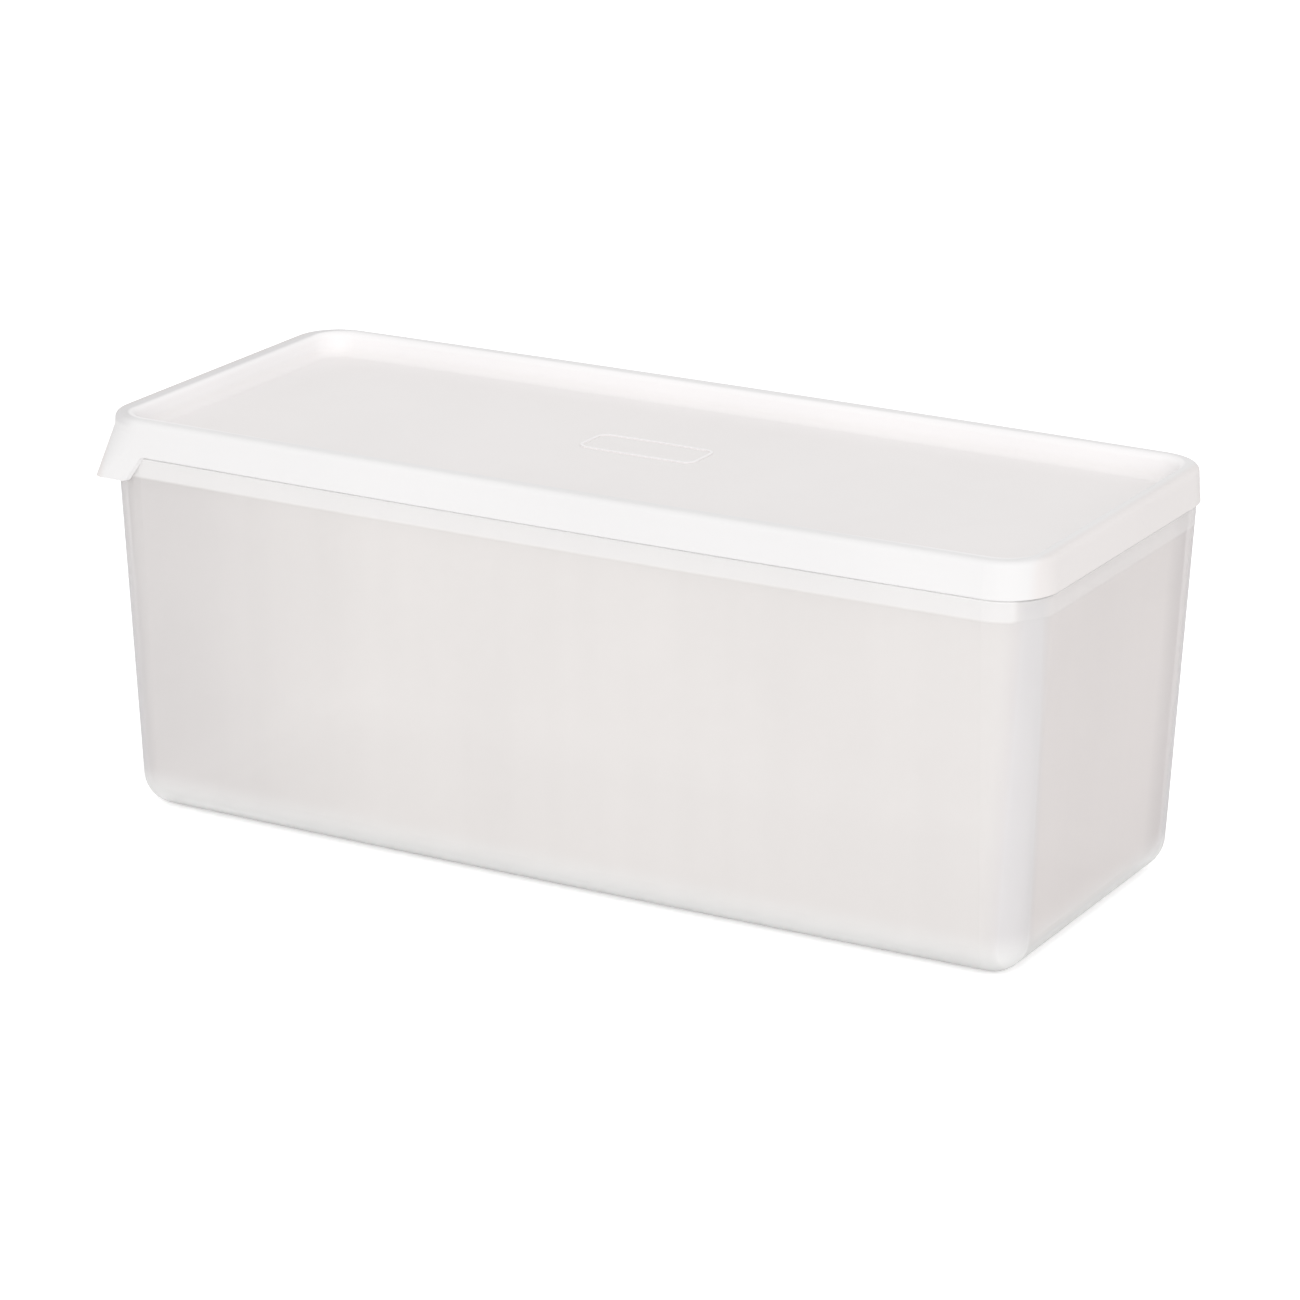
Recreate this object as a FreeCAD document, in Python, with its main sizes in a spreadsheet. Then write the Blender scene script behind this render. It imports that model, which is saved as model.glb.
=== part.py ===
import FreeCAD, Part
import math
import os
import Sketcher

# A long food storage box of frosted polypropylene: a tapered tub and a soft press-on lid.
# Millimetres. X runs along the box, Y across it and Z up. The origin is under the middle of the foot.
# The lid's pull tab is at the corner towards -X and -Y.

SIZES = (
    # the lid's outside
    ("lid_length", 330.0),
    ("lid_width", 135.4),
    ("lid_bow", 1.8),
    ("lid_corner", 17.0),
    ("lid_draft", 4.0),
    ("box_height", 133.0),
    ("skirt_height", 11.4),
    ("skirt_wall", 1.0),
    ("crest_plate", 1.3),
    ("crest_width", 6.2),
    ("crest_outer_round", 2.0),
    ("crest_inner_round", 2.2),
    # the tray sunk into the lid, and the raised frame of its label field
    ("tray_depth", 7.8),
    ("tray_draft", 5.0),
    ("tray_wall", 1.2),
    ("tray_foot_round", 3.0),
    ("label_length", 42.0),
    ("label_width", 17.0),
    ("label_corner", 4.0),
    ("label_bow", 0.3),
    ("label_line", 1.0),
    ("label_relief", 0.35),
    ("label_left", 6.5),
    ("label_back", 10.5),
    # the fin under the lid that seals against the inside of the tub
    ("fin_drop", 5.3),
    ("fin_wall", 1.2),
    ("fin_gap", 0.2),
    ("fin_draft", 0.8),
    # the pull tab
    ("tab_drop", 8.7),
    ("tab_reach", 26.0),
    ("tab_tip_corner", 4.5),
    ("tab_root_corner", 17.8),
    ("tab_root_depth", 2.7),
    ("tab_wall", 1.0),
    ("tab_half_tip", 9.2),
    ("tab_half_root", 12.9),
    ("tab_tip_round", 1.5),
    ("tab_root_round", 2.2),
    # the tub
    ("tub_inset", 1.0),
    ("tub_bow", 1.2),
    ("tub_corner", 16.5),
    ("tub_draft", 2.89),
    ("tub_wall", 2.2),
    ("tub_floor", 2.2),
    ("foot_round", 11.0),
    ("ledge_gap", 0.8),
    ("ledge_round", 0.5),
    ("rim_step", 0.8),
    ("rim_draft", 1.5),
    ("rim_round", 0.3),
    ("foot_ring", 6.0),
    ("foot_recess", 0.6),
    ("foot_recess_corner", 6.0),
    ("gate_radius", 5.0),
    ("gate_depth", 0.5),
)

# Heights, as expressions over the sheet.
SKIRT_BOTTOM = "(Sizes.box_height - Sizes.skirt_height)"
CEILING = "(Sizes.box_height - Sizes.crest_plate)"
LEDGE = "(%s - Sizes.ledge_gap)" % SKIRT_BOTTOM
TRAY_TOP = "(Sizes.box_height - Sizes.tray_depth)"
TRAY_UNDERSIDE = "(%s - Sizes.tray_wall)" % TRAY_TOP
TAB_BOTTOM = "(%s - Sizes.tab_drop)" % SKIRT_BOTTOM
TAB_TOP = "(Sizes.box_height - Sizes.tab_root_depth)"

LID_HALF_LENGTH = "(Sizes.lid_length / 2)"
LID_HALF_WIDTH = "(Sizes.lid_width / 2)"
TUB_HALF_LENGTH = "(%s - Sizes.tub_inset)" % LID_HALF_LENGTH
TUB_HALF_WIDTH = "(%s - Sizes.tub_inset)" % LID_HALF_WIDTH

# Insets from the skirt's bottom edge, going inwards.
CREST_INSET = "(Sizes.skirt_height * tan(Sizes.lid_draft * 1deg))"
TRAY_INSET = "(%s + Sizes.crest_width)" % CREST_INSET
TRAY_OUTER_INSET = "(%s - Sizes.tray_wall)" % TRAY_INSET

# Insets from the tub's outline at its ledge.
FIN_OUTER_INSET = "(Sizes.tub_wall + Sizes.fin_gap)"
FIN_INNER_INSET = "(%s + Sizes.fin_wall)" % FIN_OUTER_INSET
FOOT_INSET = "(%s * tan(Sizes.tub_draft * 1deg) + Sizes.foot_round + Sizes.foot_ring)" % LEDGE

FLAT = 0.01
QUARTER_TURN = 90.0

doc = FreeCAD.newDocument("food_storage_box")


def make_sheet():
    """The spreadsheet that drives every size."""
    sheet = doc.addObject("Spreadsheet::Sheet", "Sizes")
    for row, (alias, size) in enumerate(SIZES, start=1):
        sheet.set("A%d" % row, alias)
        sheet.set("B%d" % row, str(size))
        sheet.setAlias("B%d" % row, alias)
    doc.recompute()


def number(expression):
    """What an expression over the sheet is worth."""
    return float(doc.Sizes.evalExpression(expression))


# ---------------------------------------------------------------------------- sketches

def place_sketch(body, name, role):
    """A new sketch on one of the body's own origin planes."""
    sketch = body.newObject("Sketcher::SketchObject", name)
    plane = next(each for each in body.Origin.OriginFeatures if each.Role == role)
    sketch.AttachmentSupport = [(plane, "")]
    sketch.MapMode = "FlatFace"
    return sketch


def level_sketch(body, name, level):
    """A sketch parallel to the floor, at a height given by an expression."""
    sketch = place_sketch(body, name, "XY_Plane")
    sketch.setExpression("AttachmentOffset.Base.z", level)
    return sketch


def arc(centre_x, centre_y, radius, start, end):
    circle = Part.Circle(FreeCAD.Vector(centre_x, centre_y, 0), FreeCAD.Vector(0, 0, 1), radius)
    return Part.ArcOfCircle(circle, start, end)


def line(start_x, start_y, end_x, end_y):
    return Part.LineSegment(FreeCAD.Vector(start_x, start_y, 0), FreeCAD.Vector(end_x, end_y, 0))


def tie(sketch, kind, *places):
    """Adds a sketch constraint that has no size."""
    sketch.addConstraint(Sketcher.Constraint(kind, *places))


def drive(sketch, name, expression, kind, *places):
    """Adds a sketch dimension and binds it to an expression."""
    size = number(expression)
    index = sketch.addConstraint(Sketcher.Constraint(kind, *places, size))
    sketch.renameConstraint(index, name)
    sketch.setExpression("Constraints." + name, expression)


def add_outline(sketch, prefix, half_length, half_width, corner, bow):
    """Draws a rounded rectangle whose long sides swell by bow between the corners.

    The four sizes are expressions. Each long side is one arc, tangent to its two corner arcs.
    """
    long_radius = "((%s - %s) ^ 2 + %s ^ 2) / (2 * %s)" % (half_length, corner, bow, bow)
    crown = "%s + %s" % (half_width, bow)
    end_x = number(half_length)
    radius = number(corner)
    big = number(long_radius)
    crown_y = number(crown)
    corner_x = end_x - radius
    side_y = crown_y - big
    corner_y = side_y + math.sqrt((big - radius) ** 2 - corner_x ** 2)
    turn = math.atan2(corner_y - side_y, corner_x)

    first = len(sketch.Geometry)
    sketch.addGeometry([
        line(end_x, -corner_y, end_x, corner_y),
        arc(corner_x, corner_y, radius, 0, turn),
        arc(0, side_y, big, turn, math.pi - turn),
        arc(-corner_x, corner_y, radius, math.pi - turn, math.pi),
        line(-end_x, corner_y, -end_x, -corner_y),
        arc(-corner_x, -corner_y, radius, math.pi, math.pi + turn),
        arc(0, -side_y, big, math.pi + turn, 2 * math.pi - turn),
        arc(corner_x, -corner_y, radius, 2 * math.pi - turn, 2 * math.pi),
    ], False)
    middle = sketch.addGeometry(line(0, 0, 0, crown_y), True)
    right, back_corner, back, left, front = first, first + 1, first + 2, first + 4, first + 6

    for side in range(8):
        tie(sketch, "Tangent", first + side, 2, first + (side + 1) % 8, 1)
    for other in (first + 3, first + 5, first + 7):
        tie(sketch, "Equal", back_corner, other)
    tie(sketch, "Equal", back, front)
    tie(sketch, "Symmetric", right, 1, right, 2, -1)
    tie(sketch, "Symmetric", left, 1, left, 2, -1)
    tie(sketch, "Symmetric", right, 1, left, 2, -2)
    tie(sketch, "Coincident", middle, 1, -1, 1)
    tie(sketch, "PointOnObject", middle, 2, -2)
    tie(sketch, "PointOnObject", middle, 2, back)
    drive(sketch, prefix + "half_length", half_length, "DistanceX", -1, 1, right, 1)
    drive(sketch, prefix + "corner", corner, "Radius", back_corner)
    drive(sketch, prefix + "long_radius", long_radius, "Radius", back)
    drive(sketch, prefix + "half_middle", crown, "DistanceY", -1, 1, middle, 2)


def add_polygon(sketch, prefix, points):
    """Draws a closed polygon through points whose two coordinates are expressions."""
    places = [(number(across), number(along)) for across, along in points]
    first = len(sketch.Geometry)
    count = len(points)
    for index in range(count):
        sketch.addGeometry(line(*places[index], *places[(index + 1) % count]), False)
    for index, (across, along) in enumerate(points):
        tie(sketch, "Coincident", first + (index - 1) % count, 2, first + index, 1)
        drive(sketch, "%sx%d" % (prefix, index), across, "DistanceX", -1, 1, first + index, 1)
        drive(sketch, "%sy%d" % (prefix, index), along, "DistanceY", -1, 1, first + index, 1)


def lid_outline(body, name, level, *insets):
    """The lid's outline at a height, drawn once for each inset from the skirt's bottom edge."""
    whole = (LID_HALF_LENGTH, LID_HALF_WIDTH, "Sizes.lid_corner")
    return nested_outlines(body, name, level, whole, "Sizes.lid_bow", insets)


def tub_outline(body, name, level, *insets):
    """The tub's outline at the ledge, placed at a height, drawn once for each inset."""
    whole = (TUB_HALF_LENGTH, TUB_HALF_WIDTH, "Sizes.tub_corner")
    return nested_outlines(body, name, level, whole, "Sizes.tub_bow", insets)


def nested_outlines(body, name, level, whole, bow, insets):
    """An outline's half length, half width and corner, all drawn in by each of the insets."""
    sketch = level_sketch(body, name, level)
    for index, inset in enumerate(insets):
        half_length, half_width, corner = ["(%s - %s)" % (size, inset) for size in whole]
        add_outline(sketch, "loop%d_" % index, half_length, half_width, corner, bow)
    return sketch


# ---------------------------------------------------------------------------- features

def add_feature(body, kind, name, sketch, length, taper="0", upwards=True):
    """A Pad or Pocket that goes up or down from its sketch, its depth and taper in expressions."""
    before = body.Tip.Shape.Volume if body.Tip else 0.0
    feature = body.newObject("PartDesign::" + kind, name)
    feature.Profile = sketch
    feature.setExpression("Length", length)
    feature.setExpression("TaperAngle", taper)
    feature.Reversed = upwards == (kind == "Pocket")
    doc.recompute()
    require_change(feature, before)


def add_loft(body, kind, name, profile, section):
    """An AdditiveLoft or SubtractiveLoft between two sketches."""
    before = body.Tip.Shape.Volume
    loft = body.newObject("PartDesign::" + kind, name)
    loft.Profile = profile
    loft.Sections = [section]
    loft.Ruled = True
    doc.recompute()
    require_change(loft, before)


def require_change(feature, before):
    """Stops if a feature did nothing, or the opposite of what it is for."""
    grows = feature.TypeId.endswith(("Pad", "AdditiveLoft"))
    change = feature.Shape.Volume - before
    if not feature.Shape.isValid() or change == 0 or (change > 0) != grows:
        raise RuntimeError("%s changed the volume by %.1f" % (feature.Name, change))


def is_at(item, level):
    """Whether a face or an edge lies flat at a height given by an expression."""
    height = number(level)
    return abs(item.BoundBox.ZMin - height) < FLAT and abs(item.BoundBox.ZMax - height) < FLAT


def edges_round(body, level, outside=True, holes=False):
    """The edges of the largest flat face at a height: round its outside, round its holes, or both."""
    face = max((each for each in body.Tip.Shape.Faces if is_at(each, level)), key=lambda each: each.Area)
    edges = []
    for wire in face.Wires:
        if wire.isSame(face.OuterWire) and outside or not wire.isSame(face.OuterWire) and holes:
            edges += wire.Edges
    return edges


def add_fillet(body, name, radius, edges):
    """Rounds some edges of the body's latest feature."""
    base = body.Tip
    names = []
    for index, edge in enumerate(base.Shape.Edges, start=1):
        if any(edge.isSame(each) for each in edges):
            names.append("Edge%d" % index)
    fillet = body.newObject("PartDesign::Fillet", name)
    fillet.Base = (base, names)
    fillet.setExpression("Radius", radius)
    doc.recompute()
    if not names or fillet.Shape.isNull() or not fillet.Shape.isValid():
        raise RuntimeError("%s could not round %d edges" % (name, len(names)))


# ---------------------------------------------------------------------------- the tub

def make_tub():
    """A tapered tub with a soft foot, a ledge under the lid's skirt and a thinner rim above it."""
    body = doc.addObject("PartDesign::Body", "tub")
    body.Label = "tub"

    outline = tub_outline(body, "ledge_outline", LEDGE, "0")
    add_feature(body, "Pad", "shell", outline, LEDGE, "-Sizes.tub_draft", upwards=False)
    add_fillet(body, "ledge_edge", "Sizes.ledge_round", edges_round(body, LEDGE))

    rim_height = "%s - %s" % (CEILING, LEDGE)
    outline = tub_outline(body, "rim_outline", LEDGE, "Sizes.rim_step")
    add_feature(body, "Pad", "rim", outline, rim_height, "-Sizes.rim_draft")
    outline = tub_outline(body, "mouth_outline", CEILING, "Sizes.tub_wall")
    add_feature(body, "Pocket", "mouth", outline, rim_height, upwards=False)
    add_fillet(body, "rim_edge", "Sizes.rim_round", edges_round(body, CEILING, holes=True))

    outline = tub_outline(body, "inside_outline", LEDGE, "Sizes.tub_wall")
    depth = "%s - Sizes.tub_floor" % LEDGE
    add_feature(body, "Pocket", "inside", outline, depth, "-Sizes.tub_draft", upwards=False)
    inner_round = "Sizes.foot_round - Sizes.tub_wall"
    add_fillet(body, "inside_foot", inner_round, edges_round(body, "Sizes.tub_floor"))
    add_fillet(body, "foot_edge", "Sizes.foot_round", edges_round(body, "0"))
    add_foot_recess(body)
    return body


def add_foot_recess(body):
    """A shallow recess inside the ring that the tub stands on, and the moulding gate's round mark."""
    sketch = level_sketch(body, "foot_recess_outline", "0")
    add_outline(
        sketch, "", "(%s - %s)" % (TUB_HALF_LENGTH, FOOT_INSET),
        "(%s - %s)" % (TUB_HALF_WIDTH, FOOT_INSET), "Sizes.foot_recess_corner", "Sizes.tub_bow")
    add_feature(body, "Pocket", "foot_recess", sketch, "Sizes.foot_recess")

    sketch = level_sketch(body, "gate_outline", "Sizes.foot_recess")
    radius = number("Sizes.gate_radius")
    sketch.addGeometry(Part.Circle(FreeCAD.Vector(), FreeCAD.Vector(0, 0, 1), radius), False)
    tie(sketch, "Coincident", 0, 3, -1, 1)
    drive(sketch, "radius", "Sizes.gate_radius", "Radius", 0)
    add_feature(body, "Pocket", "gate_mark", sketch, "Sizes.gate_depth")


# ---------------------------------------------------------------------------- the lid

def make_lid():
    """A lid with a drafted skirt, a rounded crest, a sunk tray, a sealing fin and a pull tab."""
    body = doc.addObject("PartDesign::Body", "lid")
    body.Label = "lid"

    outline = lid_outline(body, "skirt_outline", SKIRT_BOTTOM, "0")
    add_feature(body, "Pad", "cap", outline, "Sizes.skirt_height", "-Sizes.lid_draft")
    add_tab(body)
    crest = edges_round(body, "Sizes.box_height")
    add_fillet(body, "crest_outer_edge", "Sizes.crest_outer_round", crest)
    hollow_skirt(body)

    outline = tub_outline(body, "fin_outline", CEILING, FIN_OUTER_INSET, FIN_INNER_INSET)
    fin_height = "%s - %s + Sizes.fin_drop" % (CEILING, SKIRT_BOTTOM)
    add_feature(body, "Pad", "fin", outline, fin_height, "-Sizes.fin_draft", upwards=False)
    add_tray(body)
    add_label_frame(body)
    return body


def add_tab(body):
    """The pull tab: the skirt's corner, which grows sharper and longer on its way down."""
    low = tab_section(body, "tab_tip", TAB_BOTTOM, "0", "Sizes.tab_tip_corner")
    top = tab_section(body, "tab_root", TAB_TOP, "0", "Sizes.tab_root_corner")
    add_loft(body, "AdditiveLoft", "tab", low, top)

    # The tab's two sides, seen square on to the corner, slope in from the skirt to the tip.
    profile = place_sketch(body, "tab_profile", "XZ_Plane")
    across = FreeCAD.Rotation(FreeCAD.Vector(0, 1, 0), -QUARTER_TURN / 2)
    profile.AttachmentOffset = FreeCAD.Placement(FreeCAD.Vector(), across)
    middle = "(%s - %s) * sqrt(0.5)" % (LID_HALF_WIDTH, LID_HALF_LENGTH)
    for prefix, sign in (("near_", "+"), ("far_", "-")):
        add_polygon(profile, prefix, (
            ("%s %s Sizes.tab_half_root" % (middle, sign), SKIRT_BOTTOM),
            ("%s %s Sizes.tab_half_tip" % (middle, sign), TAB_BOTTOM),
            ("%s %s Sizes.tab_reach" % (middle, sign), TAB_BOTTOM),
            ("%s %s Sizes.tab_reach" % (middle, sign), SKIRT_BOTTOM),
        ))
    before = body.Tip.Shape.Volume
    trim = body.newObject("PartDesign::Pocket", "tab_sides")
    trim.Profile = profile
    trim.Type = "ThroughAll"
    trim.Midplane = True
    doc.recompute()
    require_change(trim, before)
    add_fillet(body, "tab_tip_edge", "Sizes.tab_tip_round", sloping_edges(body, TAB_BOTTOM))
    add_fillet(body, "tab_root_edge", "Sizes.tab_root_round", sloping_edges(body, SKIRT_BOTTOM))


def sloping_edges(body, level):
    """The straight edges at a height that run square to the tab's profile."""
    edges = []
    for edge in body.Tip.Shape.Edges:
        box = edge.BoundBox
        if is_at(edge, level) and edge.Curve.TypeId == "Part::GeomLine" and box.XLength > FLAT:
            if abs(box.XLength - box.YLength) < FLAT:
                edges.append(edge)
    return edges


def tab_section(body, name, level, inset, corner):
    """A square of the lid's corner towards -X and -Y at a height, its outer corner rounded."""
    draft = "(%s - %s) * tan(Sizes.lid_draft * 1deg)" % (level, SKIRT_BOTTOM)
    left = "(%s - %s - %s)" % (LID_HALF_LENGTH, draft, inset)
    front = "(%s - %s - %s)" % (LID_HALF_WIDTH, draft, inset)
    x0 = -number(left)
    y0 = -number(front)
    side = number("Sizes.tab_reach")
    radius = number(corner)
    sketch = level_sketch(body, name, level)
    sketch.addGeometry([
        arc(x0 + radius, y0 + radius, radius, math.pi, 1.5 * math.pi),
        line(x0 + radius, y0, x0 + side, y0),
        line(x0 + side, y0, x0 + side, y0 + side),
        line(x0 + side, y0 + side, x0, y0 + side),
        line(x0, y0 + side, x0, y0 + radius),
    ], False)
    tie(sketch, "Tangent", 0, 2, 1, 1)
    tie(sketch, "Tangent", 4, 2, 0, 1)
    for index in (1, 2, 3):
        tie(sketch, "Coincident", index, 2, index + 1, 1)
    for kind, index in (("Horizontal", 1), ("Vertical", 2), ("Horizontal", 3), ("Vertical", 4)):
        tie(sketch, kind, index)
    drive(sketch, "corner", corner, "Radius", 0)
    drive(sketch, "left", left, "DistanceX", 3, 2, -1, 1)
    drive(sketch, "front", front, "DistanceY", 1, 1, -1, 1)
    drive(sketch, "reach_x", "Sizes.tab_reach", "DistanceX", 3, 2, 3, 1)
    drive(sketch, "reach_y", "Sizes.tab_reach", "DistanceY", 2, 1, 2, 2)
    return sketch


def hollow_skirt(body):
    """Opens the lid from below up to its crest's plate, and leaves the walls of skirt and tab."""
    outline = lid_outline(body, "hollow_outline", SKIRT_BOTTOM, "Sizes.skirt_wall")
    height = "%s - %s" % (CEILING, SKIRT_BOTTOM)
    add_feature(body, "Pocket", "hollow", outline, height, "-Sizes.lid_draft")
    tip_corner = "(Sizes.tab_tip_corner - Sizes.tab_wall)"
    root_corner = "(Sizes.tab_root_corner - Sizes.tab_wall)"
    low = tab_section(body, "tab_hollow_tip", TAB_BOTTOM, "Sizes.tab_wall", tip_corner)
    top = tab_section(body, "tab_hollow_root", TAB_TOP, "Sizes.tab_wall", root_corner)
    add_loft(body, "SubtractiveLoft", "tab_hollow", low, top)


def add_tray(body):
    """The sunk tray: a block below the crest, hollowed from above to an even wall."""
    outline = lid_outline(body, "tray_block_outline", CEILING, TRAY_OUTER_INSET)
    height = "%s - %s" % (CEILING, TRAY_UNDERSIDE)
    add_feature(body, "Pad", "tray_block", outline, height, "-Sizes.tray_draft", upwards=False)
    underside_round = "Sizes.tray_foot_round + Sizes.tray_wall"
    add_fillet(body, "tray_underside_edge", underside_round, edges_round(body, TRAY_UNDERSIDE))

    outline = lid_outline(body, "tray_outline", "Sizes.box_height", TRAY_INSET)
    add_feature(
        body, "Pocket", "tray", outline, "Sizes.tray_depth", "-Sizes.tray_draft", upwards=False)
    add_fillet(body, "tray_foot", "Sizes.tray_foot_round", edges_round(body, TRAY_TOP))
    crest = edges_round(body, "Sizes.box_height", outside=False, holes=True)
    add_fillet(body, "crest_inner_edge", "Sizes.crest_inner_round", crest)


def add_label_frame(body):
    """A thin raised frame on the tray, round a plain field for a label."""
    sketch = level_sketch(body, "label_outline", TRAY_TOP)
    sketch.setExpression("AttachmentOffset.Base.x", "-Sizes.label_left")
    sketch.setExpression("AttachmentOffset.Base.y", "Sizes.label_back")
    for prefix, inset in (("outer_", "0"), ("inner_", "Sizes.label_line")):
        add_outline(
            sketch, prefix, "(Sizes.label_length / 2 - %s)" % inset,
            "(Sizes.label_width / 2 - %s)" % inset, "(Sizes.label_corner - %s)" % inset,
            "Sizes.label_bow")
    add_feature(body, "Pad", "label_frame", sketch, "Sizes.label_relief")


# ---------------------------------------------------------------------------- check and write

def check(bodies):
    """Stops if any object failed to rebuild, or a part isn't one sound solid."""
    for each in doc.Objects:
        if "Invalid" in each.State or "Error" in each.State:
            raise RuntimeError("%s failed: %s" % (each.Name, each.State))
    for body in bodies:
        if body.Shape.isNull() or not body.Shape.isValid() or len(body.Shape.Solids) != 1:
            raise RuntimeError(body.Label + " is not one sound solid")


def write(bodies):
    """Writes each part to its own STEP file and prints its volume and box."""
    os.makedirs("parts", exist_ok=True)
    for body in bodies:
        body.Shape.exportStep("parts/%s.step" % body.Label)
        box = body.Shape.BoundBox
        print("%s: %.0f mm3, X %.2f to %.2f, Y %.2f to %.2f, Z %.2f to %.2f" % (
            body.Label, body.Shape.Volume, box.XMin, box.XMax, box.YMin, box.YMax, box.ZMin, box.ZMax))


make_sheet()
parts = [make_tub(), make_lid()]
doc.recompute()
check(parts)
write(parts)
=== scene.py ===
from math import radians, tan

import bmesh
import bpy
from bpy.props import FloatProperty, FloatVectorProperty, PointerProperty
from mathutils import Matrix, Vector

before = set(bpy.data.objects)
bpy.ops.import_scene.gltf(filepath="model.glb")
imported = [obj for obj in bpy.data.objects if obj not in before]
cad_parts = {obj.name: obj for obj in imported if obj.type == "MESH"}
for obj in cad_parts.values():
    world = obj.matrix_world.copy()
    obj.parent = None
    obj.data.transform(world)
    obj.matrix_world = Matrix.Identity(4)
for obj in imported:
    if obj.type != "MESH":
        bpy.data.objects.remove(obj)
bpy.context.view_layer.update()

bl_info = {
    "name": "Food Storage Box",
    "version": (1, 0, 0),
    "blender": (4, 5, 0),
    "location": "3D View > Sidebar > Storage Box",
    "description": "Finishes a long lidded storage box in frosted plastic and sets it in a white studio",
    "category": "Object",
}

# The moulded shapes that the finishes follow, in metres and as a slope. The tub is measured at its foot.
LID_HALF_LENGTH, LID_HALF_WIDTH, LID_CORNER = 0.1650, 0.0695, 0.0170
TUB_HALF_LENGTH, TUB_HALF_WIDTH, TUB_LEAN = 0.1573, 0.0612, tan(radians(2.89))
CREST_WIDTH, TRAY_TOP = 0.0062, 0.1252
SKIRT_FOOT, FIN_FOOT = 0.1216, 0.1163

# Where the tub's finishes, and its painted shade and light, fade from none to full, in metres. Insets are
# measured in from the outline.
END_FADE = (0.008, 0.004)
BAND_FADE = (FIN_FOOT - 0.0028, FIN_FOOT - 0.0010)
# Painted light: the strip of rim just under the lid's skirt, and the tub's floor and foot, are whitened.
RIM_LIGHT_FADE = (SKIRT_FOOT - 0.0016, SKIRT_FOOT - 0.0004)
FLOOR_LIGHT_FADE = (0.0160, 0.0040)
OUTER_FACE_FADE = (0.0015, 0.0007)
# Painted shade: the tub darkens towards its tab end and its plain end, and its end walls towards their far
# edges.
TAB_END_SHADE_FADE = (-0.057, -0.157)
PLAIN_END_SHADE_FADE = (0.0, 0.140)
FAR_EDGE_SHADE_FADE = (0.030, 0.046)

# The same for the lid's.
# Painted light: the tray's wall and the edge of its floor are whitened.
TRAY_FADE = (CREST_WIDTH - 0.0008, CREST_WIDTH + 0.0004)
TRAY_WALL_LIGHT_FADE = (TRAY_TOP, TRAY_TOP + 0.0042)
TRAY_EDGE_LIGHT_FADE = (0.024, 0.008)
LABEL_RISE = (TRAY_TOP + 0.0001, TRAY_TOP + 0.0003)
LABEL_INSET = (0.030, 0.032)
# Painted shade: the rim's ends and the top of the crest at the tab's end are darkened.
RIM_END_SHADE_FADE = (0.005, 0.002)
TAB_CREST_SHADE_FADE = (-0.148, -0.156)
CREST_TOP_FADE = (0.1300, 0.1318)

# Shares of a finish and of painted shade and light where they aren't full.
BAND_AT_ENDS, CORNER_HIDES, FAR_SHADE_AT_PLAIN_END, TRAY_EDGE_PAINTED_LIGHT = 0.45, 0.4, 0.15, 0.35

# The corners' mask, which carries their painted shade and their milkiness, leans towards the end walls and
# is full at its peak.
CORNER_LEAN, CORNER_PEAK, CORNER_SHARPNESS = 3.0, 3.08, 2.2

# The moulded surface's texture: noise scales per metre, contrast and the roughness that it adds.
CLOUD_SCALE, LINE_SCALE, LINE_STRETCH = 14.0, 90.0, 0.03
CONTRAST = (0.3, 0.7)
LINE_ROUGHNESS, CLOUD_ROUGHNESS = 0.06, 0.05
PLASTIC_IOR = 1.5

# The studio: its floor, lamp and world.
FLOOR_RADIUS, FLOOR_SIDES, FLOOR_ROUGHNESS = 6.0, 64, 0.9
LAMP_PLACE, LAMP_AIM = (1.92, -3.45, 1.57), (0.0, 0.0, 0.06)
LAMP_SIZE, LAMP_POWER = 3.3, 56.0
WORLD_LIGHT, WORLD_SEEN = 0.85, 1.0
WHITE = (1.0, 1.0, 1.0)
SENSOR_WIDTH, VIEW_DEPTH = 36.0, 20.0


# ---------------------------------------------------------------------------- settings

def colour_property(name, description, default):
    return FloatVectorProperty(
        name=name, description=description, default=default, subtype="COLOR", min=0.0, max=1.0, size=3)


def share_property(name, description, default):
    return FloatProperty(
        name=name, description=description, default=default, subtype="FACTOR", min=0.0, max=1.0)


def length_property(name, description, default):
    return FloatProperty(
        name=name, description=description, default=default, unit="LENGTH", subtype="DISTANCE", min=0.0)


def angle_property(name, description, default):
    return FloatProperty(
        name=name, description=description, default=radians(default), unit="ROTATION", subtype="ANGLE")


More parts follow.
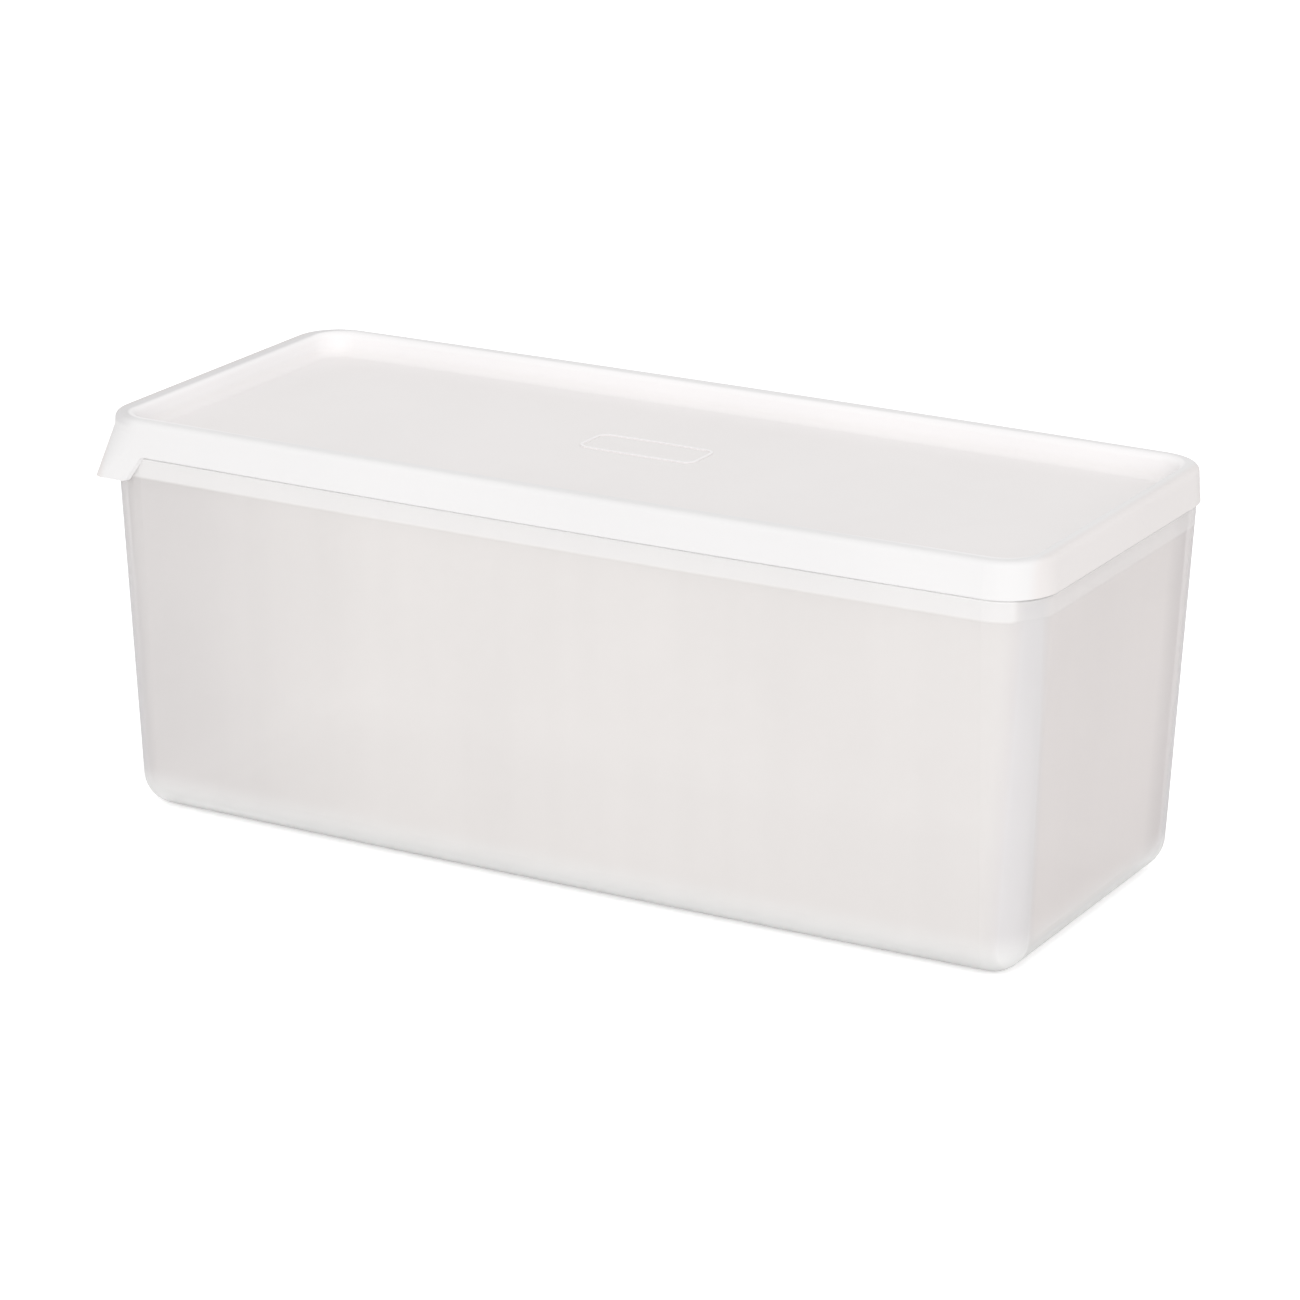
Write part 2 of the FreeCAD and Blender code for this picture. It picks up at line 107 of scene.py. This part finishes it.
class PlasticSettings(bpy.types.PropertyGroup):
    """Colours and finish of the two plastics, with their painted shade and light"""
    tub_colour: colour_property("Tub colour", "Colour of the tub's frosted walls", (0.94, 0.909, 0.893))
    # Painted light: the end walls' outer faces get their own copy of the tub's colour, set to how the lamp
    # and world light them.
    tub_end_lit_colour: colour_property("End colour", "Colour of the tub's end walls", (0.97, 0.915, 0.90))
    # Painted shade: the end walls' inner faces are darkened, and show through the walls as shaded ends.
    tub_inner_end_shade_colour: colour_property(
        "Inner end colour", "Colour of the end walls' inner faces", (0.71, 0.69, 0.68))
    # Painted shade: a darker tint towards the tab end, the plain end and the end walls' far edges.
    tub_far_shade_colour: colour_property(
        "Far colour", "Tint of the tub towards its tab end and its end walls' far edges",
        (0.88, 0.877, 0.885))
    # Painted shade: the round corners are darker and cooler, standing for the darkening that refraction and
    # the turn away from the lamp give them.
    tub_corner_shade_colour: colour_property(
        "Corner colour", "Colour of the tub's round corners", (0.83, 0.81, 0.815))
    tub_band_colour: colour_property(
        "Band colour", "Colour of the tub's wall where the lid's fin lies behind it", (0.80, 0.785, 0.78))
    # Painted light: the strip of rim just under the lid's skirt is whitened to lift the skirt's shadow.
    tub_rim_lit_colour: colour_property(
        "Rim colour", "Colour of the tub's rim, under the lid", (0.99, 0.985, 0.98))
    # Painted light: the floor and foot are whitened to lift the shade near the ground.
    tub_floor_lit_colour: colour_property(
        "Floor colour", "Colour of the tub's floor and foot", (0.995, 0.99, 0.983))
    tub_milkiness: share_property("Tub milkiness", "How much each face of the tub's walls hides", 0.65)
    tub_roughness: share_property("Tub roughness", "How matt the tub's surface is", 0.3)
    corner_reach: length_property("Corner reach", "How far round the corners their colour reaches", 0.0172)
    lid_rim_colour: colour_property(
        "Rim colour", "Colour of the lid's double-walled rim", (0.825, 0.815, 0.815))
    # Painted shade: the rim's ends are darker where they turn away from the lamp.
    lid_end_shade_colour: colour_property(
        "Rim end colour", "Colour of the rim at the lid's ends", (0.81, 0.775, 0.765))
    # Painted shade: the top of the crest at the tab's end is darker where it faces away from the lamp.
    lid_far_shade_colour: colour_property(
        "Rim tint", "Tint of the top of the rim at the tab's end", (0.88, 0.875, 0.88))
    # Painted light: the tray's wall is whitened for the light that comes through the crest; the label frame
    # and the tray's edge take the same colour.
    lid_wall_lit_colour: colour_property("Tray wall colour", "Colour of the tray's wall", (0.925, 0.908, 0.91))
    lid_tray_colour: colour_property("Tray colour", "Colour of the lid's thin tray", (0.86, 0.833, 0.825))
    lid_passes: share_property("Lid passes", "How much of the light each face of the lid lets through", 0.5)
    lid_roughness: share_property("Lid roughness", "How matt the lid's surface is", 0.42)
    sheen: share_property("Sheen", "How strongly both plastics reflect", 0.3)
    clouds: share_property("Clouds", "Strength of the wide clouds in both plastics", 0.02)
    draw_lines: share_property("Draw lines", "Strength of the upright lines in the tub", 0.010)
    grain_size: length_property("Grain size", "Size of the moulded surface's fine grain", 0.0012)
    grain_depth: length_property("Grain depth", "Height of the moulded surface's fine grain", 0.00001)


class StudioSettings(bpy.types.PropertyGroup):
    """The camera and the floor"""
    azimuth: angle_property("Azimuth", "How far round the box the camera stands", 29.083)
    elevation: angle_property("Elevation", "How far the camera looks down", 18.225)
    roll: angle_property("Roll", "The camera's lean", 0.326)
    distance: length_property("Distance", "From the camera to the point that it looks at", 1.603)
    aim: FloatVectorProperty(
        name="Aim", description="The point that the camera looks at", default=(-0.0082, 0.0166, 0.0561),
        unit="LENGTH", subtype="XYZ", size=3)
    lens: FloatProperty(
        name="Lens", description="Focal length of the lens", default=137.66, unit="CAMERA", min=1.0)
    floor_colour: colour_property("Floor colour", "Colour of the studio's floor", (0.95, 0.95, 0.95))
    floor_glow: share_property("Floor glow", "White added to the floor as the camera sees it", 0.36)
    floor_through: share_property("Glow through", "White added to the floor as seen through the box", 1.0)


# ---------------------------------------------------------------------------- materials

def new_material(name):
    """A material, its node tree and its Principled BSDF."""
    material = bpy.data.materials.new(name)
    material.use_nodes = True
    tree = material.node_tree
    return material, tree, tree.nodes["Principled BSDF"]


def opaque(colour):
    """A colour setting as a socket takes it."""
    return (*colour, 1.0)


def new_group(name, inputs, outputs):
    """A shader group with number sockets, or colour sockets where the name holds 'Colour'."""
    group = bpy.data.node_groups.new(name, "ShaderNodeTree")
    for in_out, names in (("INPUT", inputs), ("OUTPUT", outputs)):
        for each in names:
            kind = "NodeSocketColor" if "Colour" in each else "NodeSocketFloat"
            group.interface.new_socket(name=each, in_out=in_out, socket_type=kind)
    given = group.nodes.new("NodeGroupInput")
    result = group.nodes.new("NodeGroupOutput")
    return group, given.outputs, result.inputs


def feed(tree, socket, value):
    """Links a socket to another, or sets it to a plain number."""
    if isinstance(value, bpy.types.NodeSocket):
        tree.links.new(value, socket)
    else:
        socket.default_value = value


def calc(tree, operation, *values):
    """A Math node; returns its result."""
    node = tree.nodes.new("ShaderNodeMath")
    node.operation = operation
    for socket, value in zip(node.inputs, values):
        feed(tree, socket, value)
    return node.outputs[0]


def ramp(tree, value, start, end, low=0.0, high=1.0):
    """A smooth step: low below start, high above end."""
    node = tree.nodes.new("ShaderNodeMapRange")
    node.interpolation_type = "SMOOTHSTEP"
    for socket, number in (
            ("Value", value), ("From Min", start), ("From Max", end), ("To Min", low), ("To Max", high)):
        feed(tree, node.inputs[socket], number)
    return node.outputs["Result"]


def blend(tree, share, first, second, kind="MIX"):
    """A colour between two others, or one tinted by the other."""
    node = tree.nodes.new("ShaderNodeMix")
    node.data_type = "RGBA"
    node.blend_type = kind
    sockets = [socket for socket in node.inputs if socket.enabled]
    for socket, value in zip(sockets, (share, first, second)):
        feed(tree, socket, value)
    return next(socket for socket in node.outputs if socket.enabled)


def noise(tree, place, scale, detail):
    """A noise texture's value."""
    node = tree.nodes.new("ShaderNodeTexNoise")
    node.inputs["Detail"].default_value = detail
    feed(tree, node.inputs["Scale"], scale)
    tree.links.new(place, node.inputs["Vector"])
    return node.outputs["Fac"]


def outline_group():
    """Shader group: how far inside a round-cornered box's outline a point lies, and how near a corner."""
    name = "Box outline"
    if name in bpy.data.node_groups:
        return bpy.data.node_groups[name]
    tree, given, result = new_group(
        name, ("Half length", "Half width", "Corner radius", "Lean"),
        ("Inset", "Lengthwise", "Corner", "Height", "Along", "Across"))
    place = tree.nodes.new("ShaderNodeTexCoord").outputs["Object"]
    axes = tree.nodes.new("ShaderNodeSeparateXYZ")
    tree.links.new(place, axes.inputs[0])
    radius = given["Corner radius"]
    spread = calc(tree, "SUBTRACT", calc(tree, "MULTIPLY", axes.outputs["Z"], given["Lean"]), radius)
    beyond = []
    for axis, half in (("X", "Half length"), ("Y", "Half width")):
        straight = calc(tree, "ADD", given[half], spread)
        beyond.append(calc(tree, "SUBTRACT", calc(tree, "ABSOLUTE", axes.outputs[axis]), straight))
    outer = [calc(tree, "MAXIMUM", each, 0.0) for each in beyond]
    squares = calc(tree, "MULTIPLY_ADD", outer[0], outer[0], calc(tree, "MULTIPLY", outer[1], outer[1]))
    inner = calc(tree, "MINIMUM", calc(tree, "MAXIMUM", *beyond), 0.0)
    distance = calc(tree, "ADD", calc(tree, "SQRT", squares), inner)
    along, across = [calc(tree, "DIVIDE", each, radius) for each in outer]
    turn = calc(tree, "MULTIPLY", calc(tree, "POWER", along, CORNER_LEAN), across)
    turn = calc(tree, "MULTIPLY", turn, CORNER_PEAK)
    for source, target in (
            (calc(tree, "SUBTRACT", radius, distance), "Inset"),
            (calc(tree, "SUBTRACT", radius, beyond[0]), "Lengthwise"),
            (calc(tree, "MINIMUM", turn, 1.0), "Corner"),
            (axes.outputs["Z"], "Height"), (axes.outputs["X"], "Along"), (axes.outputs["Y"], "Across")):
        tree.links.new(source, result[target])
    return tree


def moulded_group():
    """Shader group: the faint clouds, draw lines, roughness and grain of a moulded plastic surface."""
    name = "Moulded plastic"
    if name in bpy.data.node_groups:
        return bpy.data.node_groups[name]
    tree, given, result = new_group(
        name, ("Colour", "Roughness", "Grain size", "Clouds", "Draw lines"),
        ("Colour", "Roughness", "Height"))
    place = tree.nodes.new("ShaderNodeTexCoord").outputs["Object"]
    upright = tree.nodes.new("ShaderNodeMapping")
    upright.inputs["Scale"].default_value = (1.0, 1.0, LINE_STRETCH)
    tree.links.new(place, upright.inputs["Vector"])

    # Wide faint clouds, and fine upright lines.
    clouds = ramp(tree, noise(tree, place, CLOUD_SCALE, 1.0), *CONTRAST)
    lines = ramp(tree, noise(tree, upright.outputs["Vector"], LINE_SCALE, 1.0), *CONTRAST)
    paler = calc(tree, "MULTIPLY", clouds, given["Clouds"])
    paler = calc(tree, "MULTIPLY_ADD", lines, given["Draw lines"], paler)
    darkest = calc(tree, "SUBTRACT", calc(tree, "SUBTRACT", 1.0, given["Clouds"]), given["Draw lines"])
    shade = tree.nodes.new("ShaderNodeVectorMath")
    shade.operation = "SCALE"
    tree.links.new(given["Colour"], shade.inputs[0])
    tree.links.new(calc(tree, "ADD", darkest, paler), shade.inputs["Scale"])
    tree.links.new(shade.outputs["Vector"], result["Colour"])
    matt = calc(tree, "MULTIPLY_ADD", clouds, CLOUD_ROUGHNESS, given["Roughness"])
    tree.links.new(calc(tree, "MULTIPLY_ADD", lines, LINE_ROUGHNESS, matt), result["Roughness"])

    # The mould's fine grain, as a height.
    frequency = calc(tree, "DIVIDE", 1.0, given["Grain size"])
    tree.links.new(noise(tree, place, frequency, 0.0), result["Height"])
    return tree


def outline_masks(material_tree, half_length, half_width, corner_radius, lean):
    """Places the box outline group in a material; returns its outputs."""
    node = material_tree.nodes.new("ShaderNodeGroup")
    node.node_tree = outline_group()
    for name, value in (
            ("Half length", half_length), ("Half width", half_width), ("Corner radius", corner_radius),
            ("Lean", lean)):
        node.inputs[name].default_value = value
    return node.outputs


def moulded(material_tree, shader, colour, roughness, look, draw_lines):
    """Feeds the shader with a colour in moulded plastic."""
    node = material_tree.nodes.new("ShaderNodeGroup")
    node.node_tree = moulded_group()
    for name, value in (
            ("Colour", colour), ("Roughness", roughness), ("Grain size", look.grain_size),
            ("Clouds", look.clouds), ("Draw lines", draw_lines)):
        feed(material_tree, node.inputs[name], value)
    bump = material_tree.nodes.new("ShaderNodeBump")
    bump.inputs["Strength"].default_value = 1.0
    bump.inputs["Distance"].default_value = look.grain_depth
    for source, target in (
            (node.outputs["Height"], bump.inputs["Height"]),
            (node.outputs["Colour"], shader.inputs["Base Color"]),
            (node.outputs["Roughness"], shader.inputs["Roughness"]),
            (bump.outputs["Normal"], shader.inputs["Normal"])):
        material_tree.links.new(source, target)
    shader.inputs["Metallic"].default_value = 0.0
    shader.inputs["IOR"].default_value = PLASTIC_IOR
    shader.inputs["Specular IOR Level"].default_value = look.sheen


def tub_plastic(look):
    """Frosted plastic: milkier behind the lid's fin and at the round corners, with painted shade and light
    as a tone for each wall, the corners, the rim and the floor.
    """
    material, tree, shader = new_material("tub_plastic")
    box = outline_masks(tree, TUB_HALF_LENGTH, TUB_HALF_WIDTH, look.corner_reach, TUB_LEAN)

    # Where each finish and each painted tone lies: by wall and corner, and by height for the fin's band,
    # the rim and the floor.
    end = ramp(tree, box["Lengthwise"], *END_FADE)
    outside = ramp(tree, box["Inset"], *OUTER_FACE_FADE)
    corner = calc(tree, "POWER", box["Corner"], CORNER_SHARPNESS)
    band = ramp(tree, box["Height"], *BAND_FADE)
    band = calc(tree, "MULTIPLY", band, ramp(tree, end, 0.0, 1.0, 1.0, BAND_AT_ENDS))
    # Painted light on the rim under the lid's skirt and on the floor and foot.
    rim = ramp(tree, box["Height"], *RIM_LIGHT_FADE)
    floor = ramp(tree, box["Height"], *FLOOR_LIGHT_FADE)

    # Painted shade: the walls darken towards both ends, and the end walls towards the side away from the
    # tab.
    tab_end_shade = ramp(tree, box["Along"], *TAB_END_SHADE_FADE)
    plain_end_shade = ramp(tree, box["Along"], *PLAIN_END_SHADE_FADE, 0.0, FAR_SHADE_AT_PLAIN_END)
    far_edge_shade = calc(tree, "MULTIPLY", end, ramp(tree, box["Across"], *FAR_EDGE_SHADE_FADE))
    far = calc(tree, "MAXIMUM", calc(tree, "MAXIMUM", tab_end_shade, plain_end_shade), far_edge_shade)

    # Painted shade on the end walls' inner faces, painted light on their outer faces.
    colour = blend(tree, outside, opaque(look.tub_inner_end_shade_colour), opaque(look.tub_end_lit_colour))
    colour = blend(tree, end, opaque(look.tub_colour), colour)
    # Painted shade on the round corners' outer faces.
    colour = blend(tree, calc(tree, "MULTIPLY", corner, outside), colour, opaque(look.tub_corner_shade_colour))
    # Painted shade towards the ends and the end walls' far edges.
    colour = blend(tree, far, colour, opaque(look.tub_far_shade_colour), "MULTIPLY")
    # The fin's band in its own colour; the rim and the floor in painted light.
    for share, tone in (
            (band, look.tub_band_colour), (rim, look.tub_rim_lit_colour), (floor, look.tub_floor_lit_colour)):
        colour = blend(tree, share, colour, opaque(tone))
    moulded(tree, shader, colour, look.tub_roughness, look, look.draw_lines)

    hides = calc(tree, "MAXIMUM", band, calc(tree, "MULTIPLY", corner, CORNER_HIDES))
    tree.links.new(ramp(tree, hides, 0.0, 1.0, look.tub_milkiness, 1.0), shader.inputs["Alpha"])
    return material


def lid_plastic(look):
    """Milky plastic: painted light makes the tray's wall and foot whiter than the thin tray, the label
    frame is whiter too, and painted shade darkens the rim's ends and the tab end's crest.
    """
    material, tree, shader = new_material("lid_plastic")
    box = outline_masks(tree, LID_HALF_LENGTH, LID_HALF_WIDTH, LID_CORNER, 0.0)

    # The tray, inside the crest, with painted light on its wall and the edge of its floor, and a whiter
    # label frame.
    inside = ramp(tree, box["Inset"], *TRAY_FADE)
    wall = ramp(tree, box["Height"], *TRAY_WALL_LIGHT_FADE)
    # Painted light at the tray's edge, by the foot of its wall.
    foot = calc(tree, "MULTIPLY", ramp(tree, box["Inset"], *TRAY_EDGE_LIGHT_FADE), TRAY_EDGE_PAINTED_LIGHT)
    ridge = ramp(tree, box["Height"], *LABEL_RISE)
    label = calc(tree, "MULTIPLY", ridge, ramp(tree, box["Inset"], *LABEL_INSET))
    # The tray's wall and edge whitened by painted light, and the label frame whitened too.
    painted_light_and_label = calc(tree, "MAXIMUM", calc(tree, "MAXIMUM", wall, foot), label)
    tray = blend(tree, painted_light_and_label, opaque(look.lid_tray_colour), opaque(look.lid_wall_lit_colour))

    # The rim around it, with painted shade on its ends and on the top of its crest at the tab's end.
    end = ramp(tree, box["Lengthwise"], *RIM_END_SHADE_FADE)
    rim = blend(tree, end, opaque(look.lid_rim_colour), opaque(look.lid_end_shade_colour))
    tab_crest_shade = ramp(tree, box["Along"], *TAB_CREST_SHADE_FADE)
    tab_crest_shade = calc(tree, "MULTIPLY", tab_crest_shade, ramp(tree, box["Height"], *CREST_TOP_FADE))
    rim = blend(tree, tab_crest_shade, rim, opaque(look.lid_far_shade_colour), "MULTIPLY")

    moulded(tree, shader, blend(tree, inside, rim, tray), look.lid_roughness, look, 0.0)
    passes = ramp(tree, inside, 0.0, 1.0, look.lid_passes, 0.0)
    tree.links.new(let_light_in(tree, passes), shader.inputs["Alpha"])
    return material


def let_light_in(tree, share):
    """Milky plastic hides what lies behind it, but passes a share of the light that falls on it."""
    path = tree.nodes.new("ShaderNodeLightPath")
    falling = calc(tree, "MAXIMUM", path.outputs["Is Shadow Ray"], path.outputs["Is Diffuse Ray"])
    return calc(tree, "SUBTRACT", 1.0, calc(tree, "MULTIPLY", falling, share))


def dress(node, material):
    """Gives a CAD node its finish."""
    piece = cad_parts[node]
    piece.data.materials.clear()
    piece.data.materials.append(material)


# ---------------------------------------------------------------------------- operators

class FOODBOX_OT_tub(bpy.types.Operator):
    """Finish the tub in frosted plastic"""
    bl_idname = "foodbox.tub"
    bl_label = "Tub"

    def execute(self, context):
        dress("tub", tub_plastic(context.scene.box_plastic))
        return {"FINISHED"}


class FOODBOX_OT_lid(bpy.types.Operator):
    """Finish the lid in soft milky plastic"""
    bl_idname = "foodbox.lid"
    bl_label = "Lid"

    def execute(self, context):
        dress("lid", lid_plastic(context.scene.box_plastic))
        return {"FINISHED"}


class FOODBOX_OT_camera(bpy.types.Operator):
    """Set up the camera"""
    bl_idname = "foodbox.camera"
    bl_label = "Camera"

    def execute(self, context):
        studio = context.scene.box_studio
        camera = bpy.data.cameras.new("camera")
        camera.sensor_width = SENSOR_WIDTH
        camera.lens = studio.lens
        camera.clip_end = VIEW_DEPTH
        holder = bpy.data.objects.new("camera", camera)
        context.scene.collection.objects.link(holder)
        turn = (
            Matrix.Rotation(studio.azimuth, 4, "Z")
            @ Matrix.Rotation(radians(90.0) - studio.elevation, 4, "X")
            @ Matrix.Rotation(studio.roll, 4, "Z"))
        back = turn @ Vector((0.0, 0.0, studio.distance))
        holder.matrix_world = Matrix.Translation(Vector(studio.aim) + back) @ turn
        context.scene.camera = holder
        return {"FINISHED"}


class FOODBOX_OT_studio(bpy.types.Operator):
    """Lay the floor, light the world and hang the lamp"""
    bl_idname = "foodbox.studio"
    bl_label = "Studio"

    def execute(self, context):
        studio = context.scene.box_studio
        scene = context.scene
        scene.view_settings.view_transform = "Standard"
        self.floor(scene, studio)
        self.world(scene)
        self.lamp(scene)
        return {"FINISHED"}

    def floor(self, scene, studio):
        mesh = bpy.data.meshes.new("floor")
        floor = bpy.data.objects.new("floor", mesh)
        scene.collection.objects.link(floor)
        bm = bmesh.new()
        bmesh.ops.create_circle(bm, cap_ends=True, segments=FLOOR_SIDES, radius=FLOOR_RADIUS)
        bm.to_mesh(mesh)
        bm.free()
        material, tree, shader = new_material("floor")
        shader.inputs["Base Color"].default_value = opaque(studio.floor_colour)
        shader.inputs["Roughness"].default_value = FLOOR_ROUGHNESS
        shader.inputs["Emission Color"].default_value = opaque(WHITE)
        path = tree.nodes.new("ShaderNodeLightPath").outputs
        glow = calc(tree, "MULTIPLY", path["Is Camera Ray"], studio.floor_glow)
        glow = calc(tree, "MULTIPLY_ADD", path["Is Transmission Ray"], studio.floor_through, glow)
        tree.links.new(glow, shader.inputs["Emission Strength"])
        mesh.materials.append(material)

    def world(self, scene):
        world = bpy.data.worlds.new("studio")
        scene.world = world
        world.use_nodes = True
        tree = world.node_tree
        light = tree.nodes["Background"]
        light.inputs["Color"].default_value = opaque(WHITE)
        path = tree.nodes.new("ShaderNodeLightPath").outputs
        seen = calc(tree, "MAXIMUM", path["Is Camera Ray"], path["Is Transmission Ray"])
        seen = calc(tree, "MAXIMUM", seen, path["Is Glossy Ray"])
        strength = tree.nodes.new("ShaderNodeMapRange")
        strength.inputs["To Min"].default_value = WORLD_LIGHT
        strength.inputs["To Max"].default_value = WORLD_SEEN
        tree.links.new(seen, strength.inputs["Value"])
        tree.links.new(strength.outputs["Result"], light.inputs["Strength"])

    def lamp(self, scene):
        light = bpy.data.lights.new("key", "AREA")
        light.shape = "DISK"
        light.size = LAMP_SIZE
        light.energy = LAMP_POWER
        holder = bpy.data.objects.new("key", light)
        scene.collection.objects.link(holder)
        holder.location = LAMP_PLACE
        aim = Vector(LAMP_AIM) - Vector(LAMP_PLACE)
        holder.rotation_euler = aim.to_track_quat("-Z", "Y").to_euler()


class FOODBOX_PT_panel(bpy.types.Panel):
    """The box's settings and its operators"""
    bl_idname = "FOODBOX_PT_panel"
    bl_label = "Storage Box"
    bl_space_type = "VIEW_3D"
    bl_region_type = "UI"
    bl_category = "Storage Box"

    def draw(self, context):
        for settings in (context.scene.box_plastic, context.scene.box_studio):
            for name in settings.__annotations__:
                self.layout.prop(settings, name)
        for operator in OPERATORS:
            self.layout.operator(operator.bl_idname)


SETTINGS = (PlasticSettings, StudioSettings)
OPERATORS = (FOODBOX_OT_camera, FOODBOX_OT_studio, FOODBOX_OT_tub, FOODBOX_OT_lid)


def register():
    for each in SETTINGS + OPERATORS + (FOODBOX_PT_panel,):
        bpy.utils.register_class(each)
    bpy.types.Scene.box_plastic = PointerProperty(type=PlasticSettings)
    bpy.types.Scene.box_studio = PointerProperty(type=StudioSettings)


def unregister():
    del bpy.types.Scene.box_studio
    del bpy.types.Scene.box_plastic
    for each in reversed(SETTINGS + OPERATORS + (FOODBOX_PT_panel,)):
        bpy.utils.unregister_class(each)


def main():
    register()
    bpy.ops.foodbox.camera()
    bpy.ops.foodbox.studio()
    bpy.ops.foodbox.tub()
    bpy.ops.foodbox.lid()


if __name__ == "__main__":
    main()
